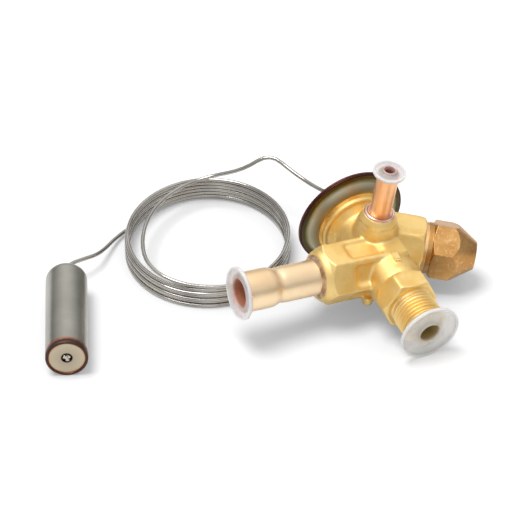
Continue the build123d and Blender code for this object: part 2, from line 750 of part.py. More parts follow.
parts = {name: REST * location * piece for name, (location, piece) in valve_pieces.items()}
parts.update({name: BULB.location * piece for name, piece in bulb_pieces.items()})
parts["capillary_lead"] = capillary(lead_points, "lead")
parts["capillary_tail"] = capillary(tail_points, "tail")
parts["capillary_coil"] = capillary_coil()

box = Compound([parts[name] for name in valve_pieces]).bounding_box()
print("valve box", [round(value, 2) for value in (*box.min, *box.max)])

os.makedirs("parts", exist_ok=True)
for name, piece in parts.items():
    export_step(piece, f"parts/{name}.step")
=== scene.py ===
import bmesh
import bpy
import json
from math import cos, degrees, pi, radians, sin, sqrt
from mathutils import Matrix, Vector
from mathutils.bvhtree import BVHTree


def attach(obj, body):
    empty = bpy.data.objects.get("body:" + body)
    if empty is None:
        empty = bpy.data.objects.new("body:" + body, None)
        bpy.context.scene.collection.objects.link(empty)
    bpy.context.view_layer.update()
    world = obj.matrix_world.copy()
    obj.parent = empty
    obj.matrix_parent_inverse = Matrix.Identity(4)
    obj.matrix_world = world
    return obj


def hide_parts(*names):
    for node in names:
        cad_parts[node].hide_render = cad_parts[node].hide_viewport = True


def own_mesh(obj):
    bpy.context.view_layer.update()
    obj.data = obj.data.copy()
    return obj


# Thermostatic expansion valve: finishes, soft edges, screw thread and wound capillary.
# Sizes are in millimetres and become metres as a mesh is made; +Z is up from the floor.
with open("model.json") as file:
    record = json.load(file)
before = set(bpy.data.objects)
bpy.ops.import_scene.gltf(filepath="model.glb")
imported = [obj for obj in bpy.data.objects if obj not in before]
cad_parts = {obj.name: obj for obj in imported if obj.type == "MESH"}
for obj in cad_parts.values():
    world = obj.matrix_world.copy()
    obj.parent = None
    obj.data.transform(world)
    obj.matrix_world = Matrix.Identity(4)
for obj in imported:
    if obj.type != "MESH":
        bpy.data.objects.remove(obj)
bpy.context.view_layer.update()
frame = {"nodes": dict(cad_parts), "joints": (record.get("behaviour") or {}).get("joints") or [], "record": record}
MM = 0.001

# ---- where the valve's own axes lie ----
joints = {joint["name"]: joint for joint in frame["joints"]}
inlet_dir = Vector(joints["flare_plug_pull"]["axis"])
outlet_dir = Vector(joints["tube_plug_pull"]["axis"])
equalizer_dir = Vector(joints["small_plug_pull"]["axis"])
spindle_dir = Vector(joints["superheat_spindle"]["axis"])
head_dir = -inlet_dir
SPINDLE_CROSSING = 14.0
EQUALIZER_OFFSET = 8.2
gear_apex = Vector(joints["superheat_spindle"]["pos_m"])
crossing = gear_apex - head_dir * SPINDLE_CROSSING * MM


def placement(origin, z_dir, x_dir):
    """Matrix from local millimetres, along z_dir, to the frame's metres."""
    z_axis = z_dir.normalized()
    x_axis = (x_dir - z_axis * x_dir.dot(z_axis)).normalized()
    y_axis = z_axis.cross(x_axis)
    turn = Matrix((x_axis, y_axis, z_axis)).transposed().to_4x4()
    return Matrix.Translation(origin) @ turn @ Matrix.Scale(MM, 4)


HEAD = placement(crossing, head_dir, -outlet_dir)
INLET = placement(crossing, inlet_dir, -outlet_dir)
OUTLET = placement(crossing, outlet_dir, head_dir)
EQUALIZER = placement(crossing + head_dir * EQUALIZER_OFFSET * MM, equalizer_dir, -outlet_dir)
SPINDLE = placement(gear_apex, spindle_dir, equalizer_dir)

# ---- floor shift, coil and bulb, as the solids have them ----
FLOOR_SHIFT = (-10.06, -1.49)
COIL_CENTRE = (-42.6, 52.6)
COIL_TURN = -26.2
COIL_SHORT = 28.9
COIL_LONG = 32.45
BULB_FACE = (-115.8, 9.8)
BULB_HEADING = 67.0
BULB_RADIUS = 7.35
BULB_LENGTH = 48.5
BULB_NECK = 1.6
CAPILLARY_RADIUS = 0.725

# ---- each open branch: where it ends, its plug's hole and its plug's rim ----
TUBE_END, TUBE_PLUG_HOLE, TUBE_PLUG_RIM = 54.9, 4.9, 9.35
NOSE, NOSE_PLUG_HOLE, NOSE_PLUG_RIM = 35.5, 3.5, 10.95
EQ_END, EQ_PLUG_HOLE, EQ_PLUG_RIM = 34.7, 1.9, 5.8


def bench(x, y, z=0.0):
    """Point given from the floor below the branch crossing, in the frame's metres."""
    return Vector(((x - FLOOR_SHIFT[0]) * MM, (y - FLOOR_SHIFT[1]) * MM, z * MM))


bulb_dir = Vector((cos(radians(BULB_HEADING)), sin(radians(BULB_HEADING)), 0))
BULB = placement(bench(*BULB_FACE, BULB_RADIUS), bulb_dir, Vector((0, 0, 1)))


# ---- shader helpers ----
def srgb(red, green, blue):
    """Colour as a painter reads it, 0 to 255, in linear light."""
    linear = [((tone / 255 + 0.055) / 1.055) ** 2.4 if tone > 10 else tone / 3295
              for tone in (red, green, blue)]
    return (*linear, 1.0)


class Wire:
    """A value socket that takes part in Python arithmetic."""

    def __init__(self, finish, socket):
        self.finish = finish
        self.socket = socket

    def _math(self, operation, first, second):
        return self.finish.node("ShaderNodeMath", {"operation": operation}, {0: first, 1: second})

    def __add__(self, other):
        return self._math("ADD", self, other)

    def __sub__(self, other):
        return self._math("SUBTRACT", self, other)

    def __mul__(self, other):
        return self._math("MULTIPLY", self, other)

    def __truediv__(self, other):
        return self._math("DIVIDE", self, other)

    def __pow__(self, other):
        return self._math("POWER", self, other)

    __radd__ = __add__
    __rmul__ = __mul__


class Finish:
    """A material under construction."""

    def __init__(self, name, **constants):
        self.material = bpy.data.materials.new(name)
        self.material.use_nodes = True
        self.tree = self.material.node_tree
        self.shader = self.tree.nodes["Principled BSDF"]
        self.set(**constants)

    def node(self, kind, settings=None, sockets=None, output=0):
        """Adds a node: settings first, then the values or links of its sockets."""
        made = self.tree.nodes.new(kind)
        for key, value in (settings or {}).items():
            if key == "stops":
                ramp = made.color_ramp
                while len(ramp.elements) < len(value):
                    ramp.elements.new(1.0)
                for element, (position, colour) in zip(ramp.elements, value):
                    element.position = position
                    element.color = colour
            else:
                setattr(made, key, value)
        for key, value in (sockets or {}).items():
            self.feed(made.inputs[key], value)
        return Wire(self, made.outputs[output])

    def feed(self, socket, value):
        if isinstance(value, Wire):
            self.tree.links.new(value.socket, socket)
        else:
            socket.default_value = value

    def set(self, **sockets):
        for key, value in sockets.items():
            self.feed(self.shader.inputs[key.replace("_", " ")], value)
        return self

    def place(self, matrix=None):
        """Object coordinates in metres, or millimetres along a placement's own axes."""
        point = self.node("ShaderNodeTexCoord", output=3)
        if matrix is None:
            return point
        location, turn, _scale = matrix.decompose()
        return self.node("ShaderNodeMapping", {"vector_type": "TEXTURE"}, {
            "Vector": point, "Location": location, "Rotation": turn.to_euler(), "Scale": (MM, MM, MM)})

    def noise(self, point, scale, detail=3.0, roughness=0.55):
        return self.node("ShaderNodeTexNoise", None, {
            "Vector": point, "Scale": scale, "Detail": detail, "Roughness": roughness})

    def stretch(self, point, scale):
        return self.node("ShaderNodeVectorMath", {"operation": "MULTIPLY"}, {0: point, 1: scale})

    def step(self, value, low, high, out_low=0.0, out_high=1.0):
        return self.node("ShaderNodeMapRange", {"interpolation_type": "SMOOTHSTEP"}, {
            "Value": value, "From Min": low, "From Max": high, "To Min": out_low, "To Max": out_high})

    def axes(self, point):
        split = self.node("ShaderNodeSeparateXYZ", None, {0: point})
        outputs = split.socket.node.outputs
        return [Wire(self, socket) for socket in outputs]

    def radius(self, x, y):
        return (x * x + y * y) ** 0.5

    def blend(self, factor, first, second):
        """Mix of two colours by a factor."""
        mixed = self.tree.nodes.new("ShaderNodeMix")
        mixed.data_type = "RGBA"
        self.feed(mixed.inputs[0], factor)
        self.feed(mixed.inputs[6], first)
        self.feed(mixed.inputs[7], second)
        return Wire(self, mixed.outputs[2])

    def ramp(self, value, stops):
        return self.node("ShaderNodeValToRGB", {"stops": stops}, {0: value})

    def bump(self, height, strength, depth_mm, normal=None):
        sockets = {"Height": height, "Strength": strength, "Distance": depth_mm * MM}
        if normal is not None:
            sockets["Normal"] = normal
        return self.node("ShaderNodeBump", None, sockets)

    def soft_edges(self, width_mm):
        return self.node("ShaderNodeBevel", {"samples": 6}, {"Radius": width_mm * MM})


# ---- finishes ----
SATIN_SPREAD = 0.06         # how far a satin metal's roughness strays from its middle
HEAD_TINT_REACH = 20.5      # radius at which the head's and the bulb face's tints end; the head's include a painted highlight ring
FACE_TINT_REACH = 7.5


def metal(name, light, dark, roughness, mottle=220.0, grain=1800.0, grain_depth=0.02):
    """Satin metal: two tones in soft patches under a fine grain."""
    finish = Finish(name, Metallic=1.0)
    point = finish.place()
    patches = finish.noise(point, mottle, 4.0)
    grains = finish.noise(point, grain, 5.0, 0.65)
    tone = finish.step(patches, 0.34, 0.66)
    finish.set(Base_Color=finish.blend(tone, dark, light),
               Roughness=roughness + (grains - 0.5) * SATIN_SPREAD + (patches - 0.5) * SATIN_SPREAD)
    finish.set(Normal=finish.bump(grains, 0.5, grain_depth))
    return finish


def forged_brass():
    """Shot-blasted forging, with a painted highlight along its edges and painted light in its hollows that offsets
    their orange interreflected shade.
    """
    finish = Finish("forged_brass", Metallic=1.0)
    point = finish.place()
    patches = finish.noise(point, 130.0, 4.0)
    skin = finish.noise(point, 1900.0, 5.0, 0.65)
    dents = finish.noise(point, 420.0, 3.0)
    edge = finish.node("ShaderNodeNewGeometry", output=7)
    tone = finish.step(patches, 0.36, 0.64)
    colour = finish.blend(tone, srgb(235, 199, 122), srgb(243, 213, 145))
    # painted highlight: convex edges are lightened
    colour = finish.blend(finish.step(edge, 0.5, 0.56) * 0.4, colour, srgb(255, 232, 172))
    # painted light: hollows are lightened to offset their orange interreflected shade
    colour = finish.blend(finish.step(edge, 0.5, 0.45) * 0.55, colour, srgb(244, 226, 182))
    finish.set(Base_Color=colour, Roughness=0.54 + (skin - 0.5) * 0.12 + (patches - 0.5) * 0.08)
    finish.set(Normal=finish.bump(skin + dents * 1.5, 0.5, 0.06))
    return finish


def cap_brass():
    """Hot-pressed brass left with its grainy bronze skin."""
    finish = Finish("cap_brass", Metallic=1.0)
    point = finish.place()
    patches = finish.noise(point, 90.0, 3.0)
    specks = finish.noise(point, 900.0, 6.0, 0.7)
    colour = finish.blend(finish.step(patches, 0.35, 0.65), srgb(186, 137, 80), srgb(208, 161, 102))
    colour = finish.blend(finish.step(specks, 0.52, 0.7) * 0.45, colour, srgb(250, 226, 176))
    finish.set(Base_Color=colour, Roughness=0.34 + (specks - 0.5) * 0.16)
    finish.set(Normal=finish.bump(specks, 0.6, 0.045, finish.soft_edges(0.35)))
    return finish


def head_steel():
    """Pressed stainless, heat-tinted from the brazed flange out to the welded rim, with a painted highlight ring
    across the dish; its dome is plain.
    """
    finish = Finish("head_steel", Metallic=1.0)
    x, y, height = finish.axes(finish.place(HEAD))
    distance = finish.radius(x, y)
    smoke = finish.noise(finish.place(), 130.0, 3.0)
    share = (distance + (smoke - 0.5) * 0.7) / HEAD_TINT_REACH
    # heat tints by radius, except the pale stop at 0.82, which is a painted highlight ring on the dish
    colour = finish.ramp(share, [
        (0.64, srgb(186, 150, 86)), (0.69, srgb(188, 158, 102)), (0.715, srgb(156, 130, 86)),
        (0.76, srgb(152, 138, 108)), (0.82, srgb(184, 176, 150)), (0.86, srgb(128, 119, 80)),
        (0.90, srgb(88, 82, 48)), (0.938, srgb(98, 84, 60)), (0.958, srgb(66, 40, 36)),
        (1.0, srgb(72, 50, 48)),
    ])
    seam = finish.step(height, 24.86, 24.98) * finish.step(height, 25.42, 25.3)
    weld = seam * finish.step(distance, 19.6, 19.8)
    colour = finish.blend(weld * 0.85, colour, srgb(150, 82, 66))
    dome = finish.step(height, 25.3, 25.8) * finish.step(distance, 18.6, 16.8)
    colour = finish.blend(dome * 0.85, colour, srgb(182, 177, 164))
    finish.set(Base_Color=colour, Roughness=finish.step(distance, 15.0, 17.5, 0.52, 0.36))
    rings = finish.node("ShaderNodeTexNoise", {"noise_dimensions": "1D"}, {
        "W": distance, "Scale": 3.0, "Detail": 4.0})
    finish.set(Normal=finish.bump(rings, 0.2, 0.05))
    return finish


def clear_plastic(name, place, face, hole, edge, seen_through_colour):
    """Milky polyethylene; its thin sleeve and the ring round its hole are painted with the colour of the tube or
    bore round it, painted light standing in for that metal seen through the plastic.
    """
    finish = Finish(name, Subsurface_Weight=0.3, Subsurface_Scale=0.002, IOR=1.5, Coat_Roughness=0.12)
    x, y, height = finish.axes(finish.place(place))
    distance = finish.radius(x, y)
    cloud = finish.noise(finish.place(), 150.0, 3.0)
    streak = finish.noise(finish.place(), 600.0, 3.0)
    sleeve = finish.step(height, face + 0.7, face - 0.4)
    # painted light: round the hole the plastic takes the colour of the metal seen through it
    glow = finish.step(distance + (cloud - 0.5) * 0.8, hole + 3.2, hole + 0.4) * 0.28
    milk = finish.blend(cloud, srgb(250, 247, 246), srgb(255, 255, 255))
    rim = finish.step(distance, edge - 1.1, edge - 0.5)
    # painted light: the sleeve is painted with the metal's seen-through colour as well
    colour = finish.blend(sleeve * 0.85, finish.blend(glow, milk, seen_through_colour), seen_through_colour)
    finish.set(Base_Color=colour, Roughness=0.28 + (cloud - 0.5) * 0.12,
               Alpha=0.56 + (cloud - 0.5) * 0.35 + rim * 0.32 - sleeve * 0.05,
               Coat_Weight=0.35 + (streak - 0.5) * 0.2)
    finish.set(Normal=finish.bump(streak, 0.15, 0.02))
    return finish


def bulb_steel():
    """Drawn stainless tube with a fine satin grain round it."""
    finish = Finish("bulb_steel", Metallic=1.0)
    height = finish.axes(finish.place(BULB))[2]
    rings = finish.node("ShaderNodeTexNoise", {"noise_dimensions": "1D"}, {
        "W": height, "Scale": 9.0, "Detail": 5.0})
    patches = finish.noise(finish.place(), 60.0, 3.0)
    brushed = finish.noise(finish.stretch(finish.place(BULB), (0.3, 0.3, 6.0)), 1.6, 4.0)
    heat = finish.step(height + (patches - 0.5) * 0.8, 2.3, 3.1)
    steel = finish.blend(finish.step(patches, 0.3, 0.7), srgb(158, 156, 147), srgb(172, 170, 161))
    colour = finish.blend(heat, srgb(158, 104, 84), steel)
    finish.set(Base_Color=colour, Roughness=0.3 + (brushed - 0.5) * 0.14)
    finish.set(Normal=finish.bump(rings, 0.16, 0.03))
    return finish


def bulb_face():
    """Dark brazed rim and groove round a beige end disc, with an orange line between them."""
    finish = Finish("bulb_face", Metallic=1.0)
    x, y, _height = finish.axes(finish.place(BULB))
    distance = finish.radius(x, y)
    smoke = finish.noise(finish.place(), 260.0, 4.0)
    share = (distance + (smoke - 0.5) * 0.3) / FACE_TINT_REACH
    colour = finish.ramp(share, [
        (0.24, srgb(60, 46, 38)), (0.30, srgb(178, 166, 144)), (0.74, srgb(192, 180, 158)),
        (0.80, srgb(188, 168, 140)), (0.825, srgb(176, 110, 70)), (0.845, srgb(96, 64, 52)),
        (0.9, srgb(74, 58, 52)), (1.0, srgb(84, 68, 62)),
    ])
    finish.set(Base_Color=colour, Roughness=0.46 + (smoke - 0.5) * 0.2)
    finish.set(Normal=finish.bump(smoke, 0.25, 0.03))
    return finish


def drawn_wire():
    """Bright drawn stainless capillary."""
    finish = Finish("capillary_steel", Metallic=1.0)
    point = finish.place()
    bands = finish.noise(point, 45.0, 2.0)
    fine = finish.noise(point, 1500.0, 3.0)
    steel = finish.blend(finish.step(bands, 0.3, 0.7), srgb(150, 146, 140), srgb(192, 188, 182))
    finish.set(Base_Color=steel, Roughness=0.12 + (fine - 0.5) * 0.05 + (bands - 0.5) * 0.06)
    finish.set(Normal=finish.bump(fine, 0.2, 0.006))
    return finish


steel_light, steel_dark = srgb(206, 203, 196), srgb(184, 181, 173)
FINISHES = {
    "forged_brass": forged_brass(),
    "cap_brass": cap_brass(),
    "inner_brass": metal("inner_brass", srgb(244, 214, 132), srgb(230, 194, 110), 0.3),
    "pale_copper": metal("pale_copper", srgb(253, 228, 190), srgb(248, 215, 171), 0.4, 60.0, 1300.0, 0.02),
    "copper": metal("copper", srgb(252, 202, 154), srgb(247, 186, 134), 0.38, 90.0, 1300.0, 0.015),
    "outlet_braze": metal(
        "outlet_braze", srgb(224, 194, 156), srgb(168, 130, 100), 0.36, 300.0, 1800.0, 0.06),
    "equalizer_braze": metal(
        "equalizer_braze", srgb(238, 206, 192), srgb(206, 164, 146), 0.24, 300.0, 1800.0, 0.05),
    "head_braze": metal("head_braze", srgb(240, 186, 92), srgb(222, 160, 72), 0.32, 300.0, 1800.0, 0.05),
    "bulb_braze": metal("bulb_braze", srgb(196, 128, 94), srgb(132, 84, 64), 0.36, 300.0, 1800.0, 0.05),
    "head_steel": head_steel(),
    "thin_steel": metal("thin_steel", steel_light, steel_dark, 0.28),
    "capillary_steel": drawn_wire(),
    "bulb_steel": bulb_steel(),
    "bulb_face": bulb_face(),
    "stub_metal": metal("stub_metal", srgb(214, 208, 198), srgb(120, 100, 84), 0.22, 900.0, 2600.0, 0.08),
    # each plastic's last colour is painted light: the metal round it, seen through the plastic
    "clear_plastic": clear_plastic(
        "clear_plastic", OUTLET, TUBE_END, TUBE_PLUG_HOLE, TUBE_PLUG_RIM, srgb(236, 150, 108)),
    "flare_plastic": clear_plastic(
        "flare_plastic", INLET, NOSE, NOSE_PLUG_HOLE, NOSE_PLUG_RIM, srgb(222, 190, 112)),
    "stub_plastic": clear_plastic(
        "stub_plastic", EQUALIZER, EQ_END, EQ_PLUG_HOLE, EQ_PLUG_RIM, srgb(220, 132, 102)),
    "seal_rubber": metal("seal_washer", srgb(244, 204, 150), srgb(228, 180, 124), 0.26),
}
BRAZES = {"outlet_braze_ring": "outlet_braze", "equalizer_braze_ring": "equalizer_braze",
          "head_braze_ring": "head_braze", "bulb_braze_ring": "bulb_braze", "bulb_fill_stub": "stub_metal",
          "inlet_plug": "flare_plastic", "equalizer_plug": "stub_plastic"}


# ---- carried-over solids ----
def paint(piece, finish):
    piece.data.materials.clear()
    piece.data.materials.append(FINISHES[finish].material)


node_slot = {entry["node"]: entry["material_slot"] for entry in frame["record"]["subparts"]}
node_body = {node: body for body, nodes in frame["record"]["behaviour"]["bodies"].items() for node in nodes}
for name, solid in frame["nodes"].items():
    paint(solid, BRAZES.get(name, node_slot[name]))


def piece_from(mesh, name, finish, slot, body, *replaced):
    piece = bpy.data.objects.new(name, mesh)
    bpy.context.scene.collection.objects.link(piece)
    paint(piece, finish)
    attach(piece, body)
    if replaced:
        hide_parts(*replaced)
    return piece


def smooth_copy(node, sharp_angle=28.0):
    """Copy of a solid's mesh with its doubles merged and its round faces shaded smooth."""
    mesh = frame["nodes"][node].data.copy()
    mesh.name = node
    work = bmesh.new()
    work.from_mesh(mesh)
    bmesh.ops.remove_doubles(work, verts=work.verts, dist=0.002 * MM)
    bmesh.ops.dissolve_degenerate(work, edges=work.edges, dist=0.001 * MM)
    for face in work.faces:
        face.smooth = True
    for edge in work.edges:
        edge.smooth = len(edge.link_faces) == 2 and edge.calc_face_angle() < radians(sharp_angle)
    work.to_mesh(mesh)
    work.free()
    return mesh


def dress(node):
    slot = node_slot[node]
    return piece_from(smooth_copy(node), node + "_dressed", BRAZES.get(node, slot), slot,
                      node_body[node], node)


# ---- turned pieces ----
def softened(outline, width):
    """Closed outline with each corner rounded by width, or by the point's own third number."""
    points = []
    count = len(outline)
    for index, (x, y, *own) in enumerate(outline):
        before, after = Vector(outline[index - 1][:2]), Vector(outline[(index + 1) % count][:2])
        here = Vector((x, y))
        back, ahead = before - here, after - here
        reach = min(own[0] if own else width, 0.45 * back.length, 0.45 * ahead.length)
        if x < 1e-6 or reach < 1e-3:
            points.append(here)
            continue
        start, end = here + back.normalized() * reach, here + ahead.normalized() * reach
        turn = pi - back.angle(ahead)
        steps = max(2, int(degrees(turn) / 15))
        for step in range(steps + 1):
            share = step / steps
            points.append(start * (1 - share) ** 2 + here * 2 * share * (1 - share) + end * share ** 2)
    return points


def turned(outline, place, width=0.15, around=144, warp=None):
    """Mesh of an outline spun about its placement's axis; warp moves a (radius, height) by its angle."""
    work = bmesh.new()
    rings = []
    for point in softened(outline, width):
        if point.x < 1e-6:
            rings.append([work.verts.new(place @ Vector((0, 0, point.y)))])
            continue
        ring = []
        for k in range(around):
            angle = 2 * pi * k / around
            radius, height = warp(angle, point.x, point.y) if warp else (point.x, point.y)
            ring.append(work.verts.new(place @ Vector((radius * cos(angle), radius * sin(angle), height))))
        rings.append(ring)
    for first, second in zip(rings, rings[1:] + rings[:1]):
        if len(first) == 1 and len(second) == 1:
            continue
        for k in range(around):
            corners = [first[k % len(first)], first[(k + 1) % len(first)],
                       second[(k + 1) % len(second)], second[k % len(second)]]
            work.faces.new(list(dict.fromkeys(corners)))
    for face in work.faces:
        face.smooth = True
    bmesh.ops.recalc_face_normals(work, faces=work.faces)
    mesh = bpy.data.meshes.new("turned")
    work.to_mesh(mesh)
    work.free()
    return mesh


def turned_piece(node, outline, place, width=0.15, around=144, warp=None):
    slot = node_slot[node]
    return piece_from(turned(outline, place, width, around, warp), node + "_turned", BRAZES.get(node, slot),
                      slot, node_body[node], node)


# outlet: solder tube with its expanded cup, bead of solder, plug
TUBE, CUP, WALL = 6.35, 7.05, 0.7
CUP_START, GROOVE = 43.8, 42.0
OUTLET_FACE = 26.0
turned_piece("outlet_tube", [
    (TUBE, 17.0), (TUBE, GROOVE - 2.2, 1.4), (TUBE - 0.36, GROOVE - 0.2, 1.0), (CUP, CUP_START + 0.5, 1.8),
    (CUP, TUBE_END),
    (CUP - WALL, TUBE_END), (CUP - WALL, CUP_START + 0.4, 1.0), (TUBE - 0.4 - WALL, GROOVE + 0.2, 0.7),
    (TUBE - WALL, GROOVE - 1.3, 0.7), (TUBE - WALL, 17.0)], OUTLET)


def wavy_bead(angle, radius, height):
    """Solder that ran a little further in some places than in others."""
    proud = max(0.0, height - OUTLET_FACE) / 1.2
    ripple = sin(3 * angle) + 0.5 * sin(8 * angle + 1)
    return radius + 0.1 * proud * sin(5 * angle + 0.6), height + 0.16 * proud * ripple


turned_piece("outlet_braze_ring", [
    (TUBE, OUTLET_FACE), (TUBE + 1.5, OUTLET_FACE), (TUBE + 1.05, OUTLET_FACE + 0.42, 0.3),
    (TUBE + 0.5, OUTLET_FACE + 0.7, 0.3), (TUBE, OUTLET_FACE + 1.0, 0.1)], OUTLET, 0.1, 144, wavy_bead)
turned_piece("outlet_plug", [
    (TUBE_PLUG_HOLE, TUBE_END - 10.0), (5.79, TUBE_END - 10.0), (6.29, TUBE_END - 8.5), (6.29, TUBE_END),
    (TUBE_PLUG_RIM, TUBE_END, 0.4), (TUBE_PLUG_RIM, TUBE_END + 1.3, 0.45), (8.6, TUBE_END + 1.22, 0.3),
    (6.0, TUBE_END + 1.02, 0.6), (5.2, TUBE_END + 0.9, 0.3), (TUBE_PLUG_HOLE, TUBE_END + 0.4, 0.3)],
    OUTLET, 0.2)

# equaliser: tube, solder ring sunk round it, plug with a hub
EQ_TUBE, EQ_WALL, EQ_SEAT = 3.8, 0.65, 16.6
turned_piece("equalizer_tube", [
    (EQ_TUBE, 11.0), (EQ_TUBE, EQ_END), (EQ_TUBE - EQ_WALL, EQ_END), (EQ_TUBE - EQ_WALL, 11.0)],
    EQUALIZER, 0.15, 112)
turned_piece("equalizer_braze_ring", [
    (EQ_TUBE, EQ_SEAT), (EQ_TUBE + 1.7, EQ_SEAT), (EQ_TUBE + 1.7, EQ_SEAT + 0.36, 0.3),
    (EQ_TUBE + 1.35, EQ_SEAT + 0.75, 0.25), (EQ_TUBE + 0.9, EQ_SEAT + 0.79, 0.25),
    (EQ_TUBE + 0.45, EQ_SEAT + 0.42, 0.2), (EQ_TUBE, EQ_SEAT + 0.5, 0.1)], EQUALIZER, 0.1, 112)
turned_piece("equalizer_plug", [
    (EQ_PLUG_HOLE, EQ_END - 8.0), (2.59, EQ_END - 8.0), (3.09, EQ_END - 6.5), (3.09, EQ_END),
    (EQ_PLUG_RIM, EQ_END, 0.35), (EQ_PLUG_RIM, EQ_END + 1.1, 0.4), (5.2, EQ_END + 1.06, 0.2),
    (3.2, EQ_END + 0.9, 0.4), (2.75, EQ_END + 1.1, 0.2), (2.6, EQ_END + 1.7, 0.25),
    (EQ_PLUG_HOLE, EQ_END + 1.7, 0.2)], EQUALIZER, 0.15, 112)

# inlet plug: a dished flange with a raised rim
turned_piece("inlet_plug", [
    (NOSE_PLUG_HOLE, NOSE - 12.0), (3.74, NOSE - 12.0), (4.24, NOSE - 10.5), (4.24, NOSE),
    (NOSE_PLUG_RIM, NOSE, 0.5), (NOSE_PLUG_RIM, NOSE + 1.4, 0.35), (10.35, NOSE + 1.4, 0.3),
    (9.7, NOSE + 0.85, 0.6), (6.6, NOSE + 0.95, 1.2),
    (5.0, NOSE + 1.32, 0.8), (3.9, NOSE + 1.36, 0.3),
    (NOSE_PLUG_HOLE, NOSE + 1.0, 0.25)], INLET, 0.2)

# power element: two pressed cups
FLOOR, RIM, SHEET, FOIL = 21.3, 24.3, 0.7, 0.2
HEAD_RADIUS = 20.0
DISH, FLAT = 13.9, 17.7
dish_curve = [(k / 12, (k / 12) ** 2.1 * (1.75 - 0.75 * (k / 12) ** 2)) for k in range(13)]
lower = [(DISH + across * (FLAT - DISH), FLOOR + min(up, 1.0) * (RIM - FLOOR), 0.12)
         for across, up in dish_curve]
upper = [(x - 0.6 * SHEET * (FLAT - x) / (FLAT - DISH) - 0.2, y + SHEET, 0.12) for x, y, _soft in lower]
turned_piece("head_lower_cup", [
    (6.4, FLOOR), *lower, (HEAD_RADIUS, RIM, 0.3), (HEAD_RADIUS, RIM + SHEET, 0.2), *reversed(upper),
    (6.4, FLOOR + SHEET)], HEAD, 0.1, 180)
BASE = RIM + SHEET + FOIL
TOP = BASE + SHEET + 5.2
turned_piece("head_upper_dome", [
    (HEAD_RADIUS, BASE + SHEET, 0.3), (FLAT, BASE + SHEET, 0.8), (FLAT - 2.2, BASE + SHEET + 1.7, 1.6),
    (9.7, TOP - 0.9, 2.6), (6.5, TOP, 2.0), (2.0, TOP), (2.0, TOP - SHEET), (6.3, TOP - SHEET, 1.6),
    (9.3, TOP - SHEET - 0.8, 2.2), (FLAT - 2.7, BASE + SHEET + 0.9, 1.4), (FLAT - 0.5, BASE, 0.5),
    (HEAD_RADIUS, BASE, 0.2)], HEAD, 0.2, 180)

# bulb: drawn shell, end plug with a rolled rim, crimped charging stub
BULB_SHOULDER, BULB_BORE = 3.6, 6.55
SEAM_FROM, SEAM_TO = 1.9, 2.4
shoulder = [(BULB_RADIUS - BULB_SHOULDER * (1 - cos(radians(angle))),
             BULB_LENGTH - BULB_NECK - BULB_SHOULDER * (1 - sin(radians(angle))), 0.2)
            for angle in range(0, 90, 10)]
turned_piece("bulb_shell", [
    (BULB_RADIUS, SEAM_TO, 0.12), *shoulder, (2.1, BULB_LENGTH - BULB_NECK, 0.5), (2.1, BULB_LENGTH, 0.5),
    (0.745, BULB_LENGTH), (0.745, BULB_LENGTH - 2.4), (3.75, BULB_LENGTH - 2.4, 0.6),
    (BULB_BORE, BULB_LENGTH - 5.2, 0.6), (BULB_BORE, SEAM_TO)], BULB, 0.15, 160)
turned_piece("bulb_braze_ring", [
    (BULB_RADIUS, SEAM_FROM), (BULB_RADIUS, SEAM_TO), (BULB_BORE, SEAM_TO), (BULB_BORE, SEAM_FROM)],
    BULB, 0.08, 160)
turned_piece("bulb_end_plug", [
    (1.85, 0.5, 0.15), (6.3, 0.5, 0.1), (6.5, 0.03, 0.15), (7.05, 0.0, 0.2), (BULB_RADIUS, 0.3, 0.3),
    (BULB_RADIUS, SEAM_FROM, 0.25), (6.53, SEAM_FROM), (6.53, 4.9), (1.85, 4.9)], BULB, 0.1, 160)


def crimped(angle, radius, height):
    """Three jaw marks that close the stub's end."""
    grip = max(0.0, min(1.0, (1.9 - height) / 1.4))
    pinch = max(0.0, cos(3 * angle + 0.5)) ** 2
    return radius * (1 - 0.42 * grip * pinch), height + 0.25 * grip * pinch * radius / 1.3


turned_piece("bulb_fill_stub", [
    (0, 0.42), (0.5, 0.35, 0.1), (0.8, 0.25, 0.15), (1.3, 0.3, 0.3), (1.62, 1.0, 0.3), (1.83, 1.9, 0.2),
    (1.83, 4.5), (0, 4.5)], BULB, 0.1, 72, crimped)

for node in ("seal_cap", "head_braze_ring", "capillary_fitting", "cap_gasket"):
    dress(node)


def sprung(node):
    """Smooth copy of a spring with a mesh of its own, riding on the valve."""
    piece = piece_from(smooth_copy(node), node + "_dressed", node_slot[node], node_slot[node], "valve", node)
    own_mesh(piece)


sprung("superheat_spring")
sprung("cone_spring")


# ---- body: forged copy with a screw-cut flare end ----
THREAD_FROM, THREAD_TO = 24.6, 32.6
THREAD_RADIUS, THREAD_ROOT, THREAD_PITCH = 7.9375, 7.08, 1.411
RELIEF_START, RELIEF_END = 0.5, 0.3     # sloping shoulders at the relieved cylinder's ends
ON_CREST = 0.03                         # a point this near the crest's cylinder belongs to it
RIDGE_SHORTER = 0.9                     # the ridge is this much shorter than the relieved cylinder
RIDGE_SUNK, RIDGE_ADDED = 0.12, 0.1     # how deep it sits in the root, and what it gains back in height


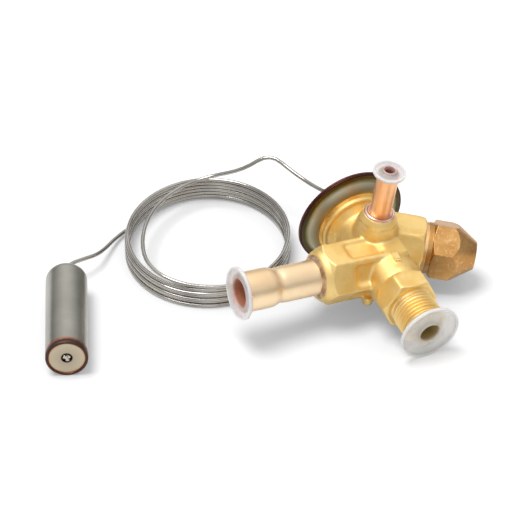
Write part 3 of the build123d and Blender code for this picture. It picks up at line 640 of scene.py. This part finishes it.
def relieved_body():
    """Smooth copy of the body with its flare cylinder turned down to the root of the thread."""
    mesh = smooth_copy("valve_body")
    work = bmesh.new()
    work.from_mesh(mesh)
    local = INLET.inverted()
    spot = {vert: local @ vert.co for vert in work.verts}

    def on_crest(vert):
        point = spot[vert]
        return (abs(sqrt(point.x ** 2 + point.y ** 2) - THREAD_RADIUS) < ON_CREST
                and THREAD_FROM - ON_CREST < point.z < THREAD_TO + ON_CREST)

    crest = [face for face in work.faces if all(on_crest(vert) for vert in face.verts)]
    bmesh.ops.delete(work, geom=crest, context="FACES")
    rims = {}
    for edge in work.edges:
        if len(edge.link_faces) == 1 and all(on_crest(vert) for vert in edge.verts):
            rims.setdefault(spot[edge.verts[0]].z > (THREAD_FROM + THREAD_TO) / 2, []).append(edge)
    sunk = []
    for far_end, edges in rims.items():
        grown = bmesh.ops.extrude_edge_only(work, edges=edges)["geom"]
        for vert in [item for item in grown if isinstance(item, bmesh.types.BMVert)]:
            point = local @ vert.co
            share = THREAD_ROOT / sqrt(point.x ** 2 + point.y ** 2)
            level = THREAD_TO - RELIEF_END if far_end else THREAD_FROM + RELIEF_START
            vert.co = INLET @ Vector((point.x * share, point.y * share, level))
        sunk += [item for item in grown if isinstance(item, bmesh.types.BMEdge)]
    bmesh.ops.bridge_loops(work, edges=sunk)
    for face in work.faces:
        face.smooth = True
    bmesh.ops.recalc_face_normals(work, faces=work.faces)
    work.to_mesh(mesh)
    work.free()
    return mesh


SKIN_GRAIN = 0.38           # spacing of the forged skin's points
SKIN_ROUNDS = 20            # smoothing rounds; more of them wear the forged edges rounder
SKIN_FACTOR = 0.5
END_FADE, BORE_FADE = 1.2, 0.8  # how gently the wear begins beside a machined end and round a bore
FLOW_MARK = (-0.2, -15.8)   # where the dies left a tab of metal, on the equaliser's x and y axes
FLOW_TURN = -8
FLOW_HALF_WIDTH = 1.15
FLOW_EDGE = 0.12
BARREL = 9.5                # radius of the barrel below it
# each branch: into its own millimetres, where its machined end begins, and the radius kept from wear
BRANCHES = [(place.inverted(), machined, bore) for place, machined, bore in (
    (OUTLET, 21.4, 6.6), (INLET, 22.2, 4.6), (EQUALIZER, 13.6, 4.1), (SPINDLE, 19.8, 4.8), (HEAD, 17.6, 6.8))]


def forged_share(point):
    """How far a point of the body is as forged: 0 on machined ends and in bores, 1 between the branches."""
    share = 1.0
    for into_branch, machined, bore in BRANCHES:
        local = into_branch @ point
        if local.z > 0:
            across = sqrt(local.x ** 2 + local.y ** 2)
            share = min(share, max(0.0, (machined - local.z) / END_FADE),
                        max(0.0, (across - bore) / BORE_FADE))
    return share


def forged_skin(mesh):
    """The body as a skin of even facets: forged corners worn round, machined faces kept to a facet."""
    surface = bmesh.new()
    surface.from_mesh(mesh)
    bmesh.ops.triangulate(surface, faces=surface.faces)
    cad = BVHTree.FromBMesh(surface)
    surface.free()
    holder = bpy.data.objects.new("skin_maker", mesh)
    bpy.context.scene.collection.objects.link(holder)
    remesh = holder.modifiers.new("skin", "REMESH")
    remesh.mode = "VOXEL"
    remesh.voxel_size = SKIN_GRAIN * MM
    ready = holder.evaluated_get(bpy.context.evaluated_depsgraph_get())
    skin = bpy.data.meshes.new_from_object(ready)
    holder.modifiers.remove(remesh)
    holder.data = skin
    worn = holder.vertex_groups.new(name="worn")
    for vert in skin.vertices:
        share = forged_share(vert.co)
        vert.co = cad.find_nearest(vert.co)[0]
        if share > 0:
            worn.add([vert.index], share, "REPLACE")
    smooth = holder.modifiers.new("wear", "SMOOTH")
    smooth.factor = SKIN_FACTOR
    smooth.iterations = SKIN_ROUNDS
    smooth.vertex_group = "worn"
    bpy.context.view_layer.update()
    finished = bpy.data.meshes.new_from_object(holder.evaluated_get(bpy.context.evaluated_depsgraph_get()))
    holder.modifiers.remove(smooth)
    bpy.data.objects.remove(holder)
    for face in finished.polygons:
        face.use_smooth = True
    finished.materials.clear()
    return finished


def thread_tree():
    """A ridge swept along a helix: length, pitch, root radius, ridge height and finish are its inputs."""
    tree = bpy.data.node_groups.new("cut_thread", "GeometryNodeTree")
    tree.interface.new_socket("Geometry", in_out="OUTPUT", socket_type="NodeSocketGeometry")
    sizes = {}
    for name in ("Length", "Pitch", "Root radius", "Ridge height"):
        socket = tree.interface.new_socket(name, in_out="INPUT", socket_type="NodeSocketFloat")
        sizes[name] = socket.identifier
    finish_socket = tree.interface.new_socket("Finish", in_out="INPUT", socket_type="NodeSocketMaterial")
    finish_input = finish_socket.identifier

    def add(kind, settings=None, sockets=None):
        made = tree.nodes.new(kind)
        for key, value in (settings or {}).items():
            setattr(made, key, value)
        for key, value in (sockets or {}).items():
            if isinstance(value, bpy.types.NodeSocket):
                tree.links.new(value, made.inputs[key])
            else:
                made.inputs[key].default_value = value
        return made

    given = add("NodeGroupInput")
    turns = add("ShaderNodeMath", {"operation": "DIVIDE"}, {
        0: given.outputs["Length"], 1: given.outputs["Pitch"]})
    helix = add("GeometryNodeCurveSpiral", None, {
        "Resolution": 72, "Rotations": turns.outputs[0], "Start Radius": given.outputs["Root radius"],
        "End Radius": given.outputs["Root radius"], "Height": given.outputs["Length"]})
    upright = add("GeometryNodeSetCurveNormal", {"mode": "Z_UP"}, {"Curve": helix.outputs[0]})
    place_on_curve = add("GeometryNodeSplineParameter")
    fade_in = add("ShaderNodeMapRange", {"interpolation_type": "SMOOTHSTEP"}, {
        "Value": place_on_curve.outputs["Factor"], "From Max": 0.07, "To Min": 0.05})
    fade_out = add("ShaderNodeMapRange", {"interpolation_type": "SMOOTHSTEP"}, {
        "Value": place_on_curve.outputs["Factor"], "From Min": 0.93, "To Min": 1.0, "To Max": 0.05})
    runout = add("ShaderNodeMath", {"operation": "MULTIPLY"}, {0: fade_in.outputs[0], 1: fade_out.outputs[0]})
    section = add("GeometryNodeCurvePrimitiveQuadrilateral", {"mode": "POINTS"})
    outward = add("ShaderNodeMath", {"operation": "MULTIPLY"}, {0: given.outputs["Ridge height"], 1: -1.0})
    half_root = add("ShaderNodeMath", {"operation": "MULTIPLY"}, {0: given.outputs["Pitch"], 1: 0.47})
    half_crest = add("ShaderNodeMath", {"operation": "MULTIPLY"}, {0: given.outputs["Pitch"], 1: 0.09})
    flip_root = add("ShaderNodeMath", {"operation": "MULTIPLY"}, {0: half_root.outputs[0], 1: -1.0})
    flip_crest = add("ShaderNodeMath", {"operation": "MULTIPLY"}, {0: half_crest.outputs[0], 1: -1.0})
    for number, (across, along) in enumerate(((None, half_root), (outward, half_crest),
                                              (outward, flip_crest), (None, flip_root)), 1):
        corner = add("ShaderNodeCombineXYZ", None, {1: along.outputs[0]})
        if across is not None:
            tree.links.new(across.outputs[0], corner.inputs[0])
        tree.links.new(corner.outputs[0], section.inputs["Point %d" % number])
    ridge = add("GeometryNodeCurveToMesh", None, {
        "Curve": upright.outputs[0], "Profile Curve": section.outputs[0], "Fill Caps": True,
        "Scale": runout.outputs[0]})
    loose = add("GeometryNodeRealizeInstances", None, {0: ridge.outputs[0]})
    coated = add("GeometryNodeSetMaterial", None, {
        "Geometry": loose.outputs[0], "Material": given.outputs["Finish"]})
    result = add("NodeGroupOutput")
    tree.links.new(coated.outputs[0], result.inputs[0])
    return tree, sizes, finish_input


def cut_thread():
    tree, sizes, finish_input = thread_tree()
    holder = bpy.data.objects.new("thread_maker", bpy.data.meshes.new("thread_maker"))
    bpy.context.scene.collection.objects.link(holder)
    modifier = holder.modifiers.new("cut", "NODES")
    modifier.node_group = tree
    values = {"Length": THREAD_TO - THREAD_FROM - RIDGE_SHORTER, "Pitch": THREAD_PITCH,
              "Root radius": THREAD_ROOT - RIDGE_SUNK,
              "Ridge height": THREAD_RADIUS - THREAD_ROOT + RIDGE_ADDED}
    for name, value in values.items():
        modifier[sizes[name]] = value
    modifier[finish_input] = FINISHES["forged_brass"].material
    ready = holder.evaluated_get(bpy.context.evaluated_depsgraph_get())
    mesh = bpy.data.meshes.new_from_object(ready)
    holder.modifiers.remove(modifier)
    bpy.data.objects.remove(holder)
    mesh.transform(INLET @ Matrix.Translation((0, 0, THREAD_FROM + RELIEF_START)))
    work = bmesh.new()
    work.from_mesh(mesh)
    bmesh.ops.recalc_face_normals(work, faces=work.faces)
    for face in work.faces:
        face.smooth = len(face.verts) == 4
    for edge in work.edges:
        edge.smooth = len(edge.link_faces) == 2 and edge.calc_face_angle() < radians(30)
    work.to_mesh(mesh)
    work.free()
    return mesh


piece_from(forged_skin(relieved_body()), "valve_body_dressed", "forged_brass", "forged_brass", "valve",
           "valve_body")
piece_from(cut_thread(), "flare_thread", "forged_brass", "forged_brass", "valve")


def flow_tab():
    """Tab of metal left on the barrel by the forging dies, nicked across near its front end."""
    outline = [(2.2, -0.9), (2.2, 0.42), (2.0, 0.62), (-0.9, 0.6), (-1.12, 0.45), (-1.2, -0.1), (-1.55, -0.1),
               (-1.6, 0.5), (-1.8, 0.68), (-2.1, 0.6), (-2.2, 0.4), (-2.2, -0.9)]
    spot = Matrix.Translation((*FLOW_MARK, BARREL))
    place = EQUALIZER @ spot @ Matrix.Rotation(radians(FLOW_TURN), 4, "Z")
    work = bmesh.new()
    sides = [[work.verts.new((across, along, up)) for along, up in outline]
             for across in (-FLOW_HALF_WIDTH, FLOW_HALF_WIDTH)]
    work.faces.new(sides[0])
    work.faces.new(reversed(sides[1]))
    for k in range(len(outline)):
        after = (k + 1) % len(outline)
        work.faces.new((sides[0][k], sides[1][k], sides[1][after], sides[0][after]))
    bmesh.ops.recalc_face_normals(work, faces=work.faces)
    bmesh.ops.bevel(work, geom=[edge for edge in work.edges if edge.calc_face_angle() > radians(60)],
                    offset=FLOW_EDGE, segments=2, affect="EDGES")
    for vert in work.verts:
        vert.co = place @ vert.co
    bmesh.ops.recalc_face_normals(work, faces=work.faces)
    mesh = bpy.data.meshes.new("flow_tab")
    work.to_mesh(mesh)
    work.free()
    return mesh


piece_from(flow_tab(), "flow_tab", "forged_brass", "forged_brass", "valve")

# ---- capillary: lead, wound turns and tail are one wire ----
LEAD_ROUTE = [
    (-0.6, 48.2, 17.4), (-4.7, 59.8, 18.6), (-9.5, 69.0, 22.9), (-19.2, 71.2, 16.9),
    (-28.6, 80.2, 11.4), (-41.5, 80.5, 10.2), (-54.5, 73.0, 10.1), (-64.2, 61.5, 10.1),
    (-70.0, 48.0, 10.0), (-69.9, 37.6, 9.9), (-65.6, 30.0, 9.3), (-59.0, 25.0, 8.4),
]
TAIL_ROUTE = [
    (-58.5, 78.6, 0.9), (-69.0, 73.2, 1.8), (-77.6, 65.2, 4.0), (-82.9, 60.7, 6.2), (-88.6, 59.0, 7.5),
]
DOME_TOP = 31.1             # where the capillary enters its fitting, along the head's axis
FITTING_MOUTH = 36.9
COIL_POINTS = 16            # for each turn
COIL_FROM = 265.5
COIL_TO = 2670.6
COIL_LAST_FRONT = 2430.0    # from here on the wire lies on the floor
FRONT_PITCH = 1.27
BACK_PITCH = 1.45
NEST = 0.35                 # radial step between neighbouring turns
SPLINE_PULL = 1.0194        # a control polygon lies this much outside its curve
LAST_SPREAD = 1.2           # how far the last turn opens outwards
WIRE_CLEARANCE = 0.02       # between the lowest turn and the floor
NECK_RUN = 4.4              # straight wire in front of the bulb's neck


def coil_point(angle):
    turn = radians(angle)
    behind = 0.5 + 0.5 * sin(turn)
    pitch = FRONT_PITCH + (BACK_PITCH - FRONT_PITCH) * behind
    left = max(0.0, (COIL_LAST_FRONT - angle) / 360)
    over = max(0.0, (angle - COIL_LAST_FRONT) / (COIL_TO - COIL_LAST_FRONT))
    shift = NEST * cos(pi * (angle - 270) / 360) + LAST_SPREAD * over ** 2
    x = (COIL_SHORT + shift) * SPLINE_PULL * cos(turn)
    y = (COIL_LONG + shift) * SPLINE_PULL * sin(turn)
    tilt = radians(COIL_TURN)
    return bench(COIL_CENTRE[0] + x * cos(tilt) - y * sin(tilt),
                 COIL_CENTRE[1] + x * sin(tilt) + y * cos(tilt),
                 CAPILLARY_RADIUS + WIRE_CLEARANCE + left * pitch)


def capillary():
    points = [HEAD @ Vector((0, 0, DOME_TOP)), HEAD @ Vector((0, 0, FITTING_MOUTH))]
    points += [bench(*point) for point in LEAD_ROUTE]
    step = 360 / COIL_POINTS
    angle = COIL_FROM + step
    while angle < COIL_TO - 0.4 * step:
        points.append(coil_point(angle))
        angle += step
    points += [bench(*point) for point in TAIL_ROUTE]
    points += [BULB @ Vector((0, 0, BULB_LENGTH + NECK_RUN)), BULB @ Vector((0, 0, BULB_LENGTH - BULB_NECK))]
    curve = bpy.data.curves.new("capillary", "CURVE")
    curve.dimensions = "3D"
    spline = curve.splines.new("NURBS")
    spline.points.add(len(points) - 1)
    for target, point in zip(spline.points, points):
        target.co = (*point, 1.0)
    spline.order_u = 3
    spline.use_endpoint_u = True
    spline.resolution_u = 4
    curve.bevel_depth = CAPILLARY_RADIUS * MM
    curve.bevel_resolution = 3
    curve.use_fill_caps = True
    piece = bpy.data.objects.new("capillary", curve)
    bpy.context.scene.collection.objects.link(piece)
    curve.materials.append(FINISHES["capillary_steel"].material)
    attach(piece, "valve")
    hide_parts("capillary_lead", "capillary_coil", "capillary_tail")
    return piece, points


wire, wire_points = capillary()


# ---- floor, light and camera ----
FLOOR_HALF = 3.0
FLOOR_TONE = 0.865
FLOOR_GLOW = 0.26
AMBIENT = 0.5
SUN = 1.7
SUN_SPREAD = 30
SUN_TOWARDS = (0.24, -0.1, -1.0)
REFLECTED_FLOOR, REFLECTED_TOP = 0.26, 1.05                 # what metal mirrors from below and above
REFLECTED_WALLS = ((0.12, 0.3), (0.28, 0.5), (0.5, 0.92))   # and between them: height, level
CANOPY = (0.12, 0.5, 1.12, 0.84)    # brighter over the camera than aside: from, to, level there, level aside
CAMERA_RIGHT = (0.8972, -0.4418, 0.0)
CAMERA_BACK = (-0.3528, -0.7165, 0.6018)
CAMERA_PLACE = (-0.3807, -0.6957, 0.6189)
CAMERA_LENS = 198.0


def stage_floor():
    corners = [(across * FLOOR_HALF, along * FLOOR_HALF, 0)
               for across, along in ((-1, -1), (1, -1), (1, 1), (-1, 1))]
    mesh = bpy.data.meshes.new("floor")
    mesh.from_pydata(corners, [], [(0, 1, 2, 3)])
    floor = bpy.data.objects.new("floor", mesh)
    bpy.context.scene.collection.objects.link(floor)
    tone = (FLOOR_TONE, FLOOR_TONE, FLOOR_TONE, 1)
    finish = Finish("floor", Base_Color=tone, Roughness=0.9, Specular_IOR_Level=0.0)
    tree = finish.tree
    path = tree.nodes.new("ShaderNodeLightPath")
    seen = Wire(finish, path.outputs["Is Camera Ray"]) + Wire(finish, path.outputs["Is Glossy Ray"]) \
        + Wire(finish, path.outputs["Is Transmission Ray"])
    glow = finish.node("ShaderNodeEmission", None, {"Color": (1, 1, 1, 1), "Strength": seen * FLOOR_GLOW})
    both = finish.node("ShaderNodeAddShader", None, {0: Wire(finish, finish.shader.outputs[0]), 1: glow})
    tree.links.new(both.socket, tree.nodes["Material Output"].inputs["Surface"])
    mesh.materials.append(finish.material)


def studio():
    """White surroundings for the camera; for metal, a bright ceiling over a darker horizon."""
    world = bpy.data.worlds.new("studio")
    bpy.context.scene.world = world
    world.use_nodes = True
    nodes, links = world.node_tree.nodes, world.node_tree.links
    background = nodes["Background"]
    background.inputs["Color"].default_value = (1, 1, 1, 1)

    def add(kind, **settings):
        made = nodes.new(kind)
        for key, value in settings.items():
            setattr(made, key, value)
        return made

    path = add("ShaderNodeLightPath")
    around = add("ShaderNodeTexCoord")
    split = add("ShaderNodeSeparateXYZ")
    links.new(around.outputs["Generated"], split.inputs[0])
    ceiling = add("ShaderNodeValToRGB")
    links.new(split.outputs[2], ceiling.inputs[0])
    ramp = ceiling.color_ramp
    for position, level in REFLECTED_WALLS:
        ramp.elements.new(position).color = (level, level, level, 1)
    ramp.elements[0].color = (REFLECTED_FLOOR, REFLECTED_FLOOR, REFLECTED_FLOOR, 1)
    ramp.elements[-1].color = (REFLECTED_TOP, REFLECTED_TOP, REFLECTED_TOP, 1)
    aside = add("ShaderNodeVectorMath", operation="DOT_PRODUCT")
    links.new(around.outputs["Generated"], aside.inputs[0])
    aside.inputs[1].default_value = CAMERA_RIGHT
    width = add("ShaderNodeMath", operation="ABSOLUTE")
    links.new(aside.outputs["Value"], width.inputs[0])
    canopy = add("ShaderNodeMapRange", interpolation_type="SMOOTHSTEP")
    for number, value in enumerate(CANOPY, 1):
        canopy.inputs[number].default_value = value
    links.new(width.outputs[0], canopy.inputs[0])
    shaped = add("ShaderNodeMath", operation="MULTIPLY")
    links.new(ceiling.outputs[0], shaped.inputs[0])
    links.new(canopy.outputs[0], shaped.inputs[1])
    mirrored = add("ShaderNodeMath", operation="ADD")
    links.new(path.outputs["Is Glossy Ray"], mirrored.inputs[0])
    links.new(path.outputs["Is Transmission Ray"], mirrored.inputs[1])
    for_metal = add("ShaderNodeMix")
    links.new(mirrored.outputs[0], for_metal.inputs[0])
    for_metal.inputs[2].default_value = AMBIENT
    links.new(shaped.outputs[0], for_metal.inputs[3])
    for_camera = add("ShaderNodeMix")
    links.new(path.outputs["Is Camera Ray"], for_camera.inputs[0])
    links.new(for_metal.outputs[0], for_camera.inputs[2])
    for_camera.inputs[3].default_value = 1.0
    links.new(for_camera.outputs[0], background.inputs["Strength"])
    sun = bpy.data.lights.new("sun", "SUN")
    sun.energy = SUN
    sun.angle = radians(SUN_SPREAD)
    lamp = bpy.data.objects.new("sun", sun)
    lamp.rotation_euler = Vector(SUN_TOWARDS).to_track_quat("-Z", "Y").to_euler()
    bpy.context.scene.collection.objects.link(lamp)
    bpy.context.scene.cycles.caustics_reflective = False


def stand_camera():
    data = bpy.data.cameras.new("camera")
    data.sensor_width = 36.0
    data.lens = CAMERA_LENS
    data.clip_end = 20.0
    camera = bpy.data.objects.new("camera", data)
    camera.location = CAMERA_PLACE
    back = Vector(CAMERA_BACK).normalized()
    right = Vector(CAMERA_RIGHT).normalized()
    up = back.cross(right)
    camera.rotation_euler = Matrix((right, up, back)).transposed().to_euler()
    bpy.context.scene.collection.objects.link(camera)
    bpy.context.scene.camera = camera


stage_floor()
studio()
stand_camera()
bpy.context.scene.view_settings.view_transform = "Standard"
